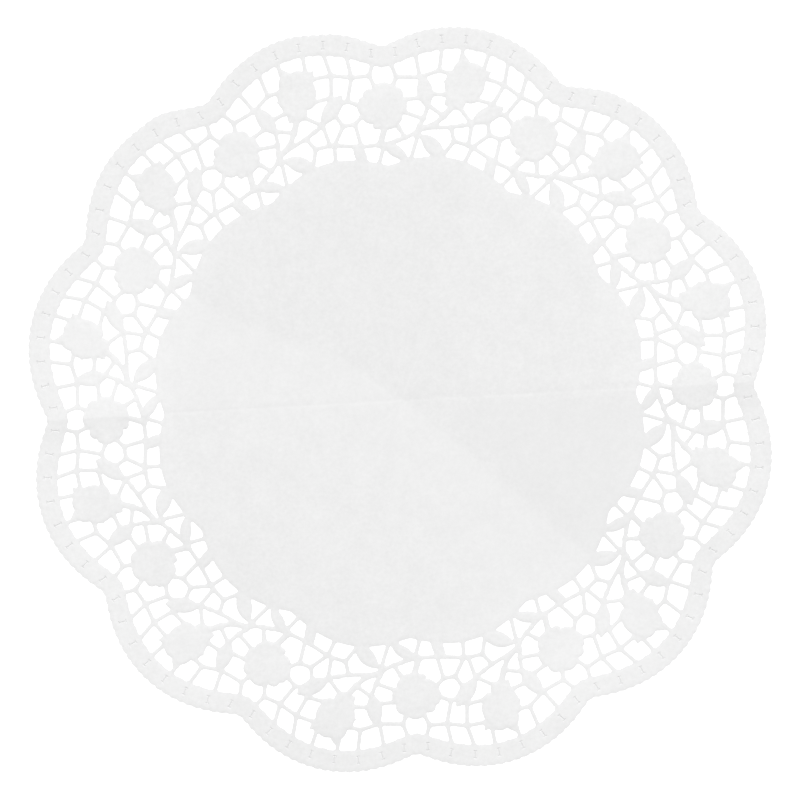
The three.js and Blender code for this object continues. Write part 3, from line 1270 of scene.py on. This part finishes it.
@dataclass
class MottleAndPaintedLight:
    """How much lighter or darker the paper is painted from place to place, in levels out of 255: painted
    light and shade, and how strongly its mottle is painted.
    """

    # Painted light: the openwork is painted lighter than the plain centre, the band a little lighter, and
    # the paper close to the openings lighter still.
    openwork: float = 2.65
    openwork_from: tuple[float, float] = (0.100, 0.126)
    band: float = 0.2
    band_from: tuple[float, float] = (0.160, 0.170)
    narrow: float = 0.4
    narrow_reach: float = 1.5 * MM
    # Painted shade: a dark line just inside every cut edge.
    edge: float = -1.9
    edge_shade_place: float = 0.7 * MM
    edge_shade_width: float = 0.6 * MM
    # Painted shade in the pressed marks, darkest along their middle lines.
    mark: float = -8.8
    mottle: float = 0.85
    # How much weaker the mottle is painted where the sheet slopes, standing in for how the light falls
    # there.
    smooth: float = 0.35
    # Painted shade: the facet to the lower right of the middle is painted darker.
    shaded: Facet = Facet(((20, -2), (92, -75), (125, -50), (125, 4)), 3, 1.0)
    shade: float = -1.1
    # Painted light: the facet to the upper right is painted lighter.
    light_and_shade_facets: tuple[Facet, ...] = (Facet(((31.5, 8), (125, 10), (125, 125), (31.5, 125)), 3, 1.0),)
    # Painted light and shade: soft patches painted lighter or darker over the uneven sheet.
    light_and_shade_patches: tuple[Patch, ...] = (
        Patch((-132, 36), 27, 34, 0, 3.1),
        Patch((-130, 5), 22, 12, 0, 2.6),
        Patch((-75, 15), 36, 18, -20, 0.6),
        Patch((142, -3), 28, 8, 3, -1.6),
        Patch((112, 12), 10, 14, 0, 1.5),
        Patch((-91, -77), 42, 13, -30, -2.9),
        Patch((-96, 124), 52, 13, 38, -1.3),
        Patch((110, 110), 16, 9, 0, -1.2),
        Patch((128, -102), 12, 18, 0, -1.0),
        Patch((138, 28), 24, 20, 0, 1.8),
        Patch((114, 96), 18, 16, 0, 0.8),
        Patch((60, 165), 55, 12, -20, 0.9),
        Patch((150, 85), 70, 14, -60, 1.2),
        Patch((84, -125), 36, 18, 38, 3.0),
        Patch((45, -74), 24, 14, -30, 1.1),
        Patch((-170, -46), 18, 10, 90, 1.5),
        Patch((-152, -37), 9, 9, 0, -1.8),
        Patch((-152, -75), 14, 12, 0, 1.8),
        Patch((-90, -118), 36, 15, -10, 1.5),
        Patch((128, -68), 36, 20, 0, -2.2),
        Patch((-38, -166), 46, 15, 0, -3.5),
        Patch((48, -165), 30, 13, 0, -1.6),
        Patch((45, -55), 20, 14, -30, -1.1),
        Patch((-100, 70), 14, 24, 0, 1.2),
        Patch((104, 60), 16, 20, 0, 1.2),
        Patch((-30, -116), 26, 12, 0, -1.6),
    )

    def levels(self, points: np.ndarray, relief: Relief, folds: Folds) -> np.ndarray:
        """The painted light and shade at places.

        Args:
            points: Places on the flat sheet, in metres.
            relief: The embossing, for the painted shade in its pressed marks.
            folds: The folds of the sheet, for the painted light and shade beside the slanting crease.

        Returns:
            The tone in levels, 0 for the plain middle of the sheet: above 0 painted light, below 0 painted
            shade.
        """
        reach = np.hypot(points[:, 0], points[:, 1])
        # Painted light over the openwork, strongest close to its openings.
        outside = soft_step(*self.openwork_from, reach)
        inside = np.maximum(-relief.chart.clearance(points), 0.0)
        tone = outside * (self.openwork + self.narrow * np.exp(-inside / self.narrow_reach))
        # Painted shade just inside every cut edge.
        tone = tone + self.edge * np.exp(-(((inside - self.edge_shade_place) / self.edge_shade_width) ** 2))
        # Painted light over the band.
        tone = tone + self.band * soft_step(*self.band_from, reach)
        # Painted shade in the pressed marks.
        tone = tone + self.mark * relief.pressed(points) / relief.mark.depth
        # Painted light and shade beside the slanting crease, and painted shade on the facet to the lower
        # right.
        tone = tone + folds.crease.tone(points) * (1 - outside) + self.shade * self.shaded.at(points)
        # Painted light and shade of the facets and patches.
        for region in (*self.light_and_shade_facets, *self.light_and_shade_patches):
            tone = tone + region.at(points)
        return tone

    def mottles(self, points: np.ndarray, folds: Folds) -> np.ndarray:
        """How strongly the paper is mottled at points: painted weaker where it slopes off the crease and on
        the shaded facet, standing in for how the light falls on those slopes.
        """
        sloping = np.maximum(folds.crease.below(points), self.shaded.at(points))
        return self.mottle * (1 - self.smooth * sloping)


@dataclass(frozen=True)
class Socket:
    """An output of a material's nodes, so that sums on it read as plain arithmetic."""

    tree: bpy.types.NodeTree
    output: bpy.types.NodeSocket

    def _math(self, operation: str, first: "Socket | float", second: "Socket | float") -> "Socket":
        """Adds a Math node on two values.

        Args:
            operation: The node's operation.
            first: Its first value.
            second: Its second value.

        Returns:
            The node's result.
        """
        node = self.tree.nodes.new("ShaderNodeMath")
        node.operation = operation
        for place, value in enumerate((first, second)):
            if isinstance(value, Socket):
                self.tree.links.new(value.output, node.inputs[place])
            else:
                node.inputs[place].default_value = value
        return Socket(self.tree, node.outputs[0])

    def __add__(self, other: "Socket | float") -> "Socket":
        """The sum with another value."""
        return self._math("ADD", self, other)

    __radd__ = __add__

    def __mul__(self, other: "Socket | float") -> "Socket":
        """The product with another value."""
        return self._math("MULTIPLY", self, other)

    __rmul__ = __mul__

    def __sub__(self, other: "Socket | float") -> "Socket":
        """The value less another."""
        return self._math("SUBTRACT", self, other)

    def __rsub__(self, other: "Socket | float") -> "Socket":
        """Another value less this one."""
        return self._math("SUBTRACT", other, self)


class Bench:
    """The node tree of one material."""

    def __init__(self, name: str) -> None:
        """Starts a material that holds only its output.

        Args:
            name: The material's name.
        """
        self.material = bpy.data.materials.new(name)
        self.material.use_nodes = True
        self.tree = self.material.node_tree
        self.tree.nodes.clear()
        self.output = self.tree.nodes.new("ShaderNodeOutputMaterial")

    def node(self, kind: str, settings: dict | None = None, inputs: dict | None = None) -> bpy.types.Node:
        """Adds a node.

        Args:
            kind: The node's type.
            settings: Its properties, set first.
            inputs: Values or links of its sockets, by name or number.

        Returns:
            The new node.
        """
        node = self.tree.nodes.new(kind)
        for name, value in (settings or {}).items():
            setattr(node, name, value)
        for name, value in (inputs or {}).items():
            if isinstance(value, Socket):
                self.tree.links.new(value.output, node.inputs[name])
            else:
                node.inputs[name].default_value = value
        return node

    def out(self, node: bpy.types.Node, name: str | int = 0) -> Socket:
        """One of a node's outputs."""
        return Socket(self.tree, node.outputs[name])

    def surface(self, node: bpy.types.Node) -> bpy.types.Material:
        """Takes the node as the material's surface and returns the material."""
        self.tree.links.new(node.outputs[0], self.output.inputs["Surface"])
        return self.material


@dataclass(frozen=True)
class PaperFinish:
    """Uncoated white paper: matt, faintly mottled, with short fibres, its colour also carrying the sheet's
    painted light and shade.
    """

    light: tuple[float, float, float] = (0.858, 0.858, 0.858)
    dark: tuple[float, float, float] = (0.718, 0.718, 0.718)
    cloud_noise: tuple[float, float, float] = (62.0, 5.0, 0.92)
    flock: float = 0.58
    flock_noise: tuple[float, float, float] = (560.0, 1.0, 0.5)
    # How far each level of painted light and shade moves the colour between dark and light.
    level: float = 0.053
    fibre_noise: tuple[float, float, float] = (900.0, 3.0, 0.6)
    grain_noise: tuple[float, float, float] = (3600.0, 2.0, 0.6)
    fibre_share: float = 0.6
    grain_share: float = 0.4
    roughness: float = 0.80
    roughness_swing: float = 0.12
    specular: float = 0.3
    bump: float = 0.14
    bump_depth: float = 0.00006

    def material(self) -> bpy.types.Material:
        """Builds the paper's nodes.

        Returns:
            The paper's material.
        """
        bench = Bench("paper")
        place = bench.out(bench.node("ShaderNodeTexCoord"), "Object")

        def noise(scale: float, detail: float, roughness: float) -> Socket:
            """A noise over the sheet, from 0 to 1."""
            inputs = {"Vector": place, "Scale": scale, "Detail": detail, "Roughness": roughness}
            return bench.out(bench.node("ShaderNodeTexNoise", inputs=inputs), "Fac")

        def attribute(name: str) -> Socket:
            """A value that the sheet's mesh holds at its points."""
            return bench.out(bench.node("ShaderNodeAttribute", {"attribute_name": name}), "Fac")

        fibre, grain = noise(*self.fibre_noise), noise(*self.grain_noise)
        tone, flock = noise(*self.cloud_noise), noise(*self.flock_noise)
        # The tone attribute, read here as pressed, is painted light and shade: lighter openwork and band,
        # and painted shade at cut edges, in marks and beside the crease.
        pressed, mottle = attribute("tone"), attribute("mottle")
        height = self.fibre_share * fibre + self.grain_share * grain
        colour = bench.node(
            "ShaderNodeMix",
            {"data_type": "RGBA"},
            {
                "Factor": 0.5 + mottle * (tone - 0.5 + self.flock * (flock - 0.5)) + self.level * pressed,
                "A": (*self.dark, 1.0),
                "B": (*self.light, 1.0),
            },
        )
        bump = bench.node(
            "ShaderNodeBump",
            inputs={"Strength": self.bump, "Distance": self.bump_depth, "Height": height},
        )
        shader = bench.node(
            "ShaderNodeBsdfPrincipled",
            inputs={
                "Base Color": bench.out(colour, "Result"),
                "Roughness": self.roughness + self.roughness_swing * fibre,
                "Normal": bench.out(bump),
                "Specular IOR Level": self.specular,
            },
        )
        return bench.surface(shader)


@dataclass(frozen=True)
class TableFinish:
    """A white table under strong light."""

    colour: tuple[float, float, float] = (0.95, 0.95, 0.95)
    glow: float = 0.62
    roughness: float = 0.9

    def material(self) -> bpy.types.Material:
        """Builds the table's nodes.

        Returns:
            The table's material.
        """
        bench = Bench("white_table")
        shader = bench.node(
            "ShaderNodeBsdfPrincipled",
            inputs={
                "Base Color": (*self.colour, 1.0),
                "Roughness": self.roughness,
                "Specular IOR Level": 0.0,
                "Emission Color": (1.0, 1.0, 1.0, 1.0),
                "Emission Strength": self.glow,
            },
        )
        return bench.surface(shader)


def added(name: str, data: bpy.types.ID) -> bpy.types.Object:
    """Adds an object with the data to the scene.

    Args:
        name: The object's name.
        data: Its mesh, light or camera.

    Returns:
        The new object.
    """
    item = bpy.data.objects.new(name, data)
    bpy.context.collection.objects.link(item)
    return item


@dataclass
class DoilySheet:
    """The doily itself: one closed sheet with its outline, openings, embossing and folds."""

    chart: Chart = field(default_factory=Chart)
    folds: Folds = field(default_factory=Folds)
    mottle_and_painted_light: MottleAndPaintedLight = field(default_factory=MottleAndPaintedLight)
    finish: PaperFinish = PaperFinish()
    outline_steps: int = 184
    uneven: Unevenness = Unevenness()
    shoulders_at: tuple[float, ...] = (0.38 * MM, 1.1 * MM, 2.0 * MM)
    gap: float = 0.34 * MM
    bar_step: float = 1.9 * MM
    motif_step: float = 0.78 * MM
    band_step: float = 1.35 * MM
    row_height: float = 0.866
    motif_reach: float = 0.4 * MM
    motif_inset: float = 0.62 * MM
    bar_clear: float = 0.7 * MM
    edge_reach: float = 0.3 * MM
    rim_reach: float = 0.2 * MM
    plain_inset: float = 0.7 * MM
    crease_inset: float = 0.6 * MM
    under_inset: float = 0.9 * MM
    shoulder_slack: float = 0.14 * MM
    band_radii: tuple[float, float] = (0.158, 0.182)
    motif_radii: tuple[float, float] = (0.111, 0.170)
    rim_radii: tuple[float, float] = (0.104, 0.1205)
    centre_radii: tuple[float, float] = (0.1035, 0.008)
    centre_steps: tuple[float, float] = (1.6 * MM, 4.5 * MM)
    centre_growth: float = 1.08
    fold_rows: tuple[float, ...] = (0.1, 0.55, -0.35, 1.0, -0.8, 1.5, -1.6, 2.2, -3.2, 3.4)
    fold_step: float = 1.3
    crease_rows: tuple[float, ...] = (0, -2, 2, -4.5, 4.5, -8, 8)
    crease_step: float = 3.0
    under_radii: tuple[float, float] = (0.004, 0.180)
    under_rows: tuple[float, ...] = (0, -3.4, 3.4)
    under_step: float = 9.0 * MM
    sharp: float = 18.0
    merge: float = 0.004 * MM
    flat: float = 0.3543
    paper_area: float = 0.078

    def all_round(self, *groups: np.ndarray) -> list[np.ndarray]:
        """The groups of points of one repeat, repeated all the way round."""
        return [turned(points, step * REPEAT) for step in range(REPEATS) for points in groups]

    def numbered(self, groups: list[np.ndarray], first: int) -> tuple[np.ndarray, list[list[int]]]:
        """The points of all groups in one list, and each group's numbers in it, counted on from a first."""
        ends = (first + np.cumsum([0, *(len(group) for group in groups)])).tolist()
        return np.vstack(groups), [list(range(start, end)) for start, end in pairwise(ends)]

    def outline(self) -> np.ndarray:
        """The outer edge of the sheet as a closed loop."""
        angle = np.arange(self.outline_steps * REPEATS) * 360 / (self.outline_steps * REPEATS)
        return placed(np.radians(angle), self.chart.outer.radius(angle))

    def lattice(self, low: float, high: float, step: float) -> np.ndarray:
        """Evenly spread points of one repeat between two radii.

        Args:
            low: The inner radius.
            high: The outer radius, in metres like the rest.
            step: The distance between points.

        Returns:
            The points.
        """
        rows = []
        for row, radius in enumerate(np.arange(low, high, step * self.row_height)):
            count = max(1, round(radius * REPEAT / step))
            rows.append(placed((np.arange(count) + 0.5 * (row % 2)) * REPEAT / count, radius))
        return np.vstack(rows)

    def motif_points(self) -> np.ndarray:
        """Points inside the leaves, sepals and flowers of one repeat.

        Returns:
            The points, in metres.
        """
        points = self.lattice(*self.motif_radii, self.motif_step)
        inside = self.chart.motif_clearance(points) < self.motif_reach
        return points[inside & (self.chart.clearance(points) < -self.motif_inset)]

    def bar_points(self) -> np.ndarray:
        """Points along the middles of the bars and stems of one repeat.

        Returns:
            The points, in metres.
        """
        chart = self.chart
        points = []
        for stroke in (*chart.bars, *chart.stems):
            for start, end in pairwise(stroke.line):
                along = np.subtract(end, start)
                count = max(1, round(float(np.linalg.norm(along)) / self.bar_step))
                share = (np.arange(count) + 0.5) / count
                points.append(start + share[:, None] * along)
        points = np.vstack(points)
        keep = chart.motif_clearance(points) > self.bar_clear
        keep &= chart.centre.clearance(points) > self.edge_reach
        keep &= chart.band.clearance(points) < -self.edge_reach
        return points[keep]

    def plain_points(self) -> np.ndarray:
        """Points of one repeat in the band and in the outer part of the plain centre.

        Returns:
            The points, in metres.
        """
        chart = self.chart
        band = self.lattice(*self.band_radii, self.band_step)
        inside = chart.band.clearance(band) > -self.edge_reach
        inside &= chart.clearance(band) < -self.plain_inset
        fine, coarse = self.centre_steps
        rim = self.lattice(*self.rim_radii, fine)
        plain = chart.centre.clearance(rim) < self.rim_reach
        plain &= chart.clearance(rim) < -self.plain_inset
        rows = [band[inside], rim[plain]]
        (radius, innermost), step = self.centre_radii, fine
        while radius > innermost:
            step = min(coarse, step * self.centre_growth)
            rows.append(self.lattice(radius, radius + step * 0.5, step))
            radius -= step
        return np.vstack(rows)

    def mark_lines(self, relief: Relief) -> tuple[list[np.ndarray], list[tuple[int, int]]]:
        """The pressed marks of one repeat: for each its corners and spine, and the edges that join them.

        Args:
            relief: The embossing, for its marks.

        Returns:
            For each mark its corners and spine, and the edges that join them by their numbers.
        """
        mark = relief.mark
        corners, spine = mark.outline(), mark.spine()
        count = len(corners)
        edges = list(pairwise((*range(count), 0)))
        edges += [(count + a, count + b) for a, b in ((0, 1), (1, 2), (3, 4), (4, 5), (1, 4))]
        local, groups = np.array(corners + spine), []
        for angle, tilt in relief.marks:
            middle, around, out = mark.frame_of(self.chart, angle, tilt)
            groups.append(middle + local[:, :1] * around + local[:, 1:] * out)
        return groups, edges

    def beside(
        self, line: tuple[tuple[float, float], ...], offsets: tuple[float, ...], step: float
    ) -> np.ndarray:
        """Points along a bent line and beside it, at offsets to its left, all in millimetres.

        Args:
            line: The corners of the line.
            offsets: How far to its left each row of points runs.
            step: The distance between points in a row.

        Returns:
            The points, in metres.
        """
        corners = np.array(line)
        rows = []
        for start, end in pairwise(corners):
            length = float(np.linalg.norm(end - start))
            along = (end - start) / length
            reach = np.arange(0.5 * step, length, step)
            rows += [start + reach[:, None] * along + offset * left_of(along) for offset in offsets]
        return np.vstack(rows) * MM

    def crease_points(self) -> np.ndarray:
        """Points of the upper face along the pressed fold and the soft creases.

        Returns:
            The points, in metres.
        """
        rows = [self.beside(self.folds.fold_line(), self.fold_rows, self.fold_step)]
        for line in (self.folds.crease.line, self.folds.ridge.line):
            rows.append(self.beside(line, self.crease_rows, self.crease_step))
        points = np.vstack(rows)
        return points[self.chart.clearance(points) < -self.crease_inset]

    def apart(self, fixed: np.ndarray, extra: np.ndarray, gap: float) -> np.ndarray:
        """The extra points that lie at least a gap from the fixed ones and from each other.

        Args:
            fixed: Points that stay.
            extra: Points that give way.
            gap: The least distance, in metres.

        Returns:
            The extra points that stay.
        """
        taken = {}
        for point in fixed:
            taken.setdefault((int(point[0] // gap), int(point[1] // gap)), []).append(point)
        kept = []
        for point in extra:
            column, row = int(point[0] // gap), int(point[1] // gap)
            near = (
                other
                for i in (-1, 0, 1)
                for j in (-1, 0, 1)
                for other in taken.get((column + i, row + j), ())
            )
            if all((point[0] - other[0]) ** 2 + (point[1] - other[1]) ** 2 > gap * gap for other in near):
                kept.append(point)
                taken.setdefault((column, row), []).append(point)
        return np.array(kept)

    def filled(
        self, points: np.ndarray, loops: list[list[int]], edges: list[tuple[int, int]]
    ) -> tuple[np.ndarray, list[list[int]]]:
        """Fills the sheet between its outline and its openings with triangles.

        Args:
            points: All points of the face.
            loops: The numbers of the points of each closed loop, the outline first.
            edges: More edges that the triangles keep.

        Returns:
            The points, and the triangles by the numbers of their points.
        """
        flat = [Vector(point) for point in (points / MM).tolist()]
        found = delaunay_2d_cdt(flat, edges, loops, 1, 1e-6, True)
        vertices, triangles, sources = found[0], found[2], found[5]
        if len(vertices) != len(flat):
            log.info("fill: %d points in, %d out", len(flat), len(vertices))
        kept = [corners for corners, source in zip(triangles, sources) if source == [0]]
        used = sorted({corner for corners in kept for corner in corners})
        number = {corner: place for place, corner in enumerate(used)}
        spots = np.array([tuple(vertices[corner]) for corner in used]) * MM
        return spots, [[number[corner] for corner in corners] for corners in kept]

    def build(self) -> bpy.types.Object:
        """Builds the sheet and dresses it.

        Returns:
            The sheet's object.
        """
        relief = Relief(self.chart)
        holes = OpeningTracer(self.chart).loops()
        log.info("openings: %d in a repeat, %d points", len(holes), sum(len(hole) for hole in holes))
        outline = self.outline()
        rim, loops = self.numbered([outline, *self.all_round(*holes)], 0)
        marks, mark_edges = self.mark_lines(relief)
        lines, numbers = self.numbered(self.all_round(*marks), len(rim))
        edges = [(names[a], names[b]) for names in numbers for a, b in mark_edges]

        fixed = np.vstack((rim, lines))
        reach = np.hypot(outline[:, 0], outline[:, 1])[:, None]
        insets = np.vstack([outline[::2] * (1 - shoulder / reach[::2]) for shoulder in self.shoulders_at])
        extra = np.vstack((
            insets,
            *self.all_round(self.shoulders(holes)),
            *self.all_round(self.bar_points()),
            self.crease_points(),
            *self.all_round(self.motif_points()),
            *self.all_round(self.plain_points()),
        ))
        extra = extra[relief.clear_of_marks(extra, self.gap)]
        spread = self.apart(fixed, extra, self.gap)
        top, top_faces = self.filled(np.vstack((fixed, spread)), loops, edges)
        height = relief.height(top)
        # The tone is painted light and shade; the mottle sets how strongly the paper's mottle is painted.
        looks = {
            "tone": self.mottle_and_painted_light.levels(top, relief, self.folds),
            "mottle": self.mottle_and_painted_light.mottles(top, self.folds),
        }
        lift = self.folds.lift(top)
        log.info("upper face: %d triangles", len(top_faces))

        sparse = np.vstack((
            *self.all_round(self.lattice(*self.under_radii, self.under_step)),
            self.beside(self.folds.fold_line(), self.under_rows, self.crease_step),
        ))
        sparse = sparse[self.chart.clearance(sparse) < -self.under_inset]
        under, under_faces = self.filled(np.vstack((rim, sparse)), loops, [])
        log.info("under face: %d triangles", len(under_faces))

        mesh = self.closed(
            np.column_stack((top, lift + height)), top_faces, looks,
            np.column_stack((under, self.folds.lift(under))), under_faces, relief,
        )
        mesh.materials.append(self.finish.material())
        return added("doily_sheet", mesh)

    def shoulders(self, holes: list[np.ndarray]) -> np.ndarray:
        """Points just inside the paper beside the openings of one repeat, where the embossing bends.

        Args:
            holes: The outlines of the openings.

        Returns:
            The points, in metres.
        """
        points = np.vstack(holes)
        slope = OpeningTracer(self.chart).slope(points)
        slope /= np.maximum(np.linalg.norm(slope, axis=1), 1e-9)[:, None]
        rows = []
        for shoulder in self.shoulders_at:
            inside = points - slope * shoulder
            reach = self.chart.openwork(inside)
            rows.append(inside[np.abs(reach + shoulder) < self.shoulder_slack])
        return np.vstack(rows)

    def closed(
        self,
        top: np.ndarray,
        top_faces: list[list[int]],
        looks: dict[str, np.ndarray],
        under: np.ndarray,
        under_faces: list[list[int]],
        relief: Relief,
    ) -> bpy.types.Mesh:
        """Joins the two faces of the sheet by a wall along every edge.

        Args:
            top: Points of the upper face.
            top_faces: Its triangles.
            looks: The values of its points that the paper's finish reads, by name: the painted light and
                shade, and the mottle's strength.
            under: Points of the under face.
            under_faces: Its triangles, seen from above.
            relief: The embossing, for the height of the walls.

        Returns:
            The closed mesh.
        """
        shell = bmesh.new()
        layers = [shell.verts.layers.float.new(name) for name in looks]
        low = [shell.verts.new(point) for point in under.tolist()]
        for a, b, c in under_faces:
            shell.faces.new((low[c], low[b], low[a]))
        border = [edge for edge in shell.edges if edge.is_boundary]
        risen = bmesh.ops.extrude_edge_only(shell, edges=border)["geom"]
        wall = [vertex for vertex in risen if isinstance(vertex, bmesh.types.BMVert)]
        spots = np.array([tuple(vertex.co.xy) for vertex in wall])
        height = relief.height(spots)
        for vertex, extra in zip(wall, height.tolist()):
            vertex.co.z += extra
        high = [shell.verts.new(point) for point in top.tolist()]
        for layer, values in zip(layers, looks.values()):
            for vertex, value in zip(high, values.tolist()):
                vertex[layer] = value
        for a, b, c in top_faces:
            shell.faces.new((high[a], high[b], high[c]))
        rim = [vertex for vertex in high if any(edge.is_boundary for edge in vertex.link_edges)]
        bmesh.ops.remove_doubles(shell, verts=rim + wall, dist=self.merge)
        bmesh.ops.recalc_face_normals(shell, faces=shell.faces)
        open_edges = sum(1 for edge in shell.edges if not edge.is_manifold)
        log.info("sheet: %d faces, %d open edges", len(shell.faces), open_edges)
        flat = np.array([tuple(vertex.co.xy) for vertex in shell.verts])
        for vertex, place in zip(shell.verts, self.uneven.moved(flat, self.chart, self.folds).tolist()):
            vertex.co.xy = place
        for face in shell.faces:
            face.smooth = True
        for edge in shell.edges:
            edge.smooth = edge.calc_face_angle(0.0) < math.radians(self.sharp)
        mesh = bpy.data.meshes.new("doily_sheet")
        shell.to_mesh(mesh)
        shell.free()
        return mesh


@dataclass
class Studio:
    """The white table, the soft lights and the camera over the sheet."""

    lens: float = 100.0
    sensor: float = 36.0
    distance: float = 1.0616
    aim: tuple[float, float] = (0.206 * MM, 1.443 * MM)
    lean: tuple[float, float] = (0.0164, 0.0476)
    clip: tuple[float, float] = (0.05, 20.0)
    table: float = 3.0
    under: float = 0.1 * MM
    key_strength: float = 1.93
    key_softness: float = 60.0
    key_rise: float = 45.0
    key_turn: float = 4.0
    key_distance: float = 2.0
    room: float = 0.653
    finish: TableFinish = TableFinish()

    def camera(self) -> None:
        """Puts the camera nearly straight over the sheet, a little towards its upper right."""
        data = bpy.data.cameras.new("camera")
        data.lens = self.lens
        data.sensor_width = self.sensor
        data.clip_start, data.clip_end = self.clip
        camera = added("camera", data)
        forward = Vector((-self.lean[0], -self.lean[1], -1.0))
        forward.z = -math.sqrt(1 - self.lean[0] ** 2 - self.lean[1] ** 2)
        right = Vector((1, 0, 0)) - forward * forward.x
        right.normalize()
        up = right.cross(forward)
        place = Vector((*self.aim, 0.0)) - forward * self.distance
        turn = Matrix((right, up, -forward)).transposed().to_4x4()
        camera.matrix_world = Matrix.Translation(place) @ turn
        bpy.context.scene.camera = camera

    def key_light(self) -> None:
        """Hangs one far, soft light beyond the upper edge of the picture."""
        data = bpy.data.lights.new("key_light", "SUN")
        data.energy = self.key_strength
        data.angle = math.radians(self.key_softness)
        lamp = added("key_light", data)
        rise, turn = math.radians(self.key_rise), math.radians(self.key_turn)
        towards = Vector((math.sin(turn) * math.cos(rise), math.cos(turn) * math.cos(rise), math.sin(rise)))
        lamp.location = towards * self.key_distance
        lamp.rotation_mode = "QUATERNION"
        lamp.rotation_quaternion = (-towards).to_track_quat("-Z", "Y")

    def dress(self) -> None:
        """Makes the table, the lights and the surrounding white."""
        top = bmesh.new()
        bmesh.ops.create_grid(top, x_segments=1, y_segments=1, size=self.table / 2)
        mesh = bpy.data.meshes.new("table")
        top.to_mesh(mesh)
        top.free()
        table = added("table", mesh)
        for vertex in mesh.vertices:
            vertex.co.z = -self.under
        mesh.materials.append(self.finish.material())
        table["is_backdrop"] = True
        self.key_light()
        world = bpy.data.worlds.new("room")
        world.use_nodes = True
        backdrop = world.node_tree.nodes["Background"]
        backdrop.inputs["Color"].default_value = (1.0, 1.0, 1.0, 1.0)
        backdrop.inputs["Strength"].default_value = self.room
        bpy.context.scene.world = world
        view = bpy.context.scene.view_settings
        view.view_transform = "Standard"
        view.look = "None"
        view.exposure = 0.0
        view.gamma = 1.0


def write_sizes() -> None:
    boxes = {"cad": CAD_BOX, "visual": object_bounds()}
    plain = {name: [[float(value) for value in corner] for corner in box] for name, box in boxes.items()}


def main() -> None:
    """Builds the camera, the sheet and the table, in that order."""
    logging.basicConfig(level=logging.INFO, format="%(name)s: %(message)s")
    studio = Studio()
    studio.camera()
    doily = DoilySheet()
    piece = doily.build()
    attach(piece, "root")
    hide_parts("doily")
    log.info("doily_sheet: %d faces", len(piece.data.polygons))
    studio.dress()
    write_sizes()


if __name__ == "__main__":
    main()
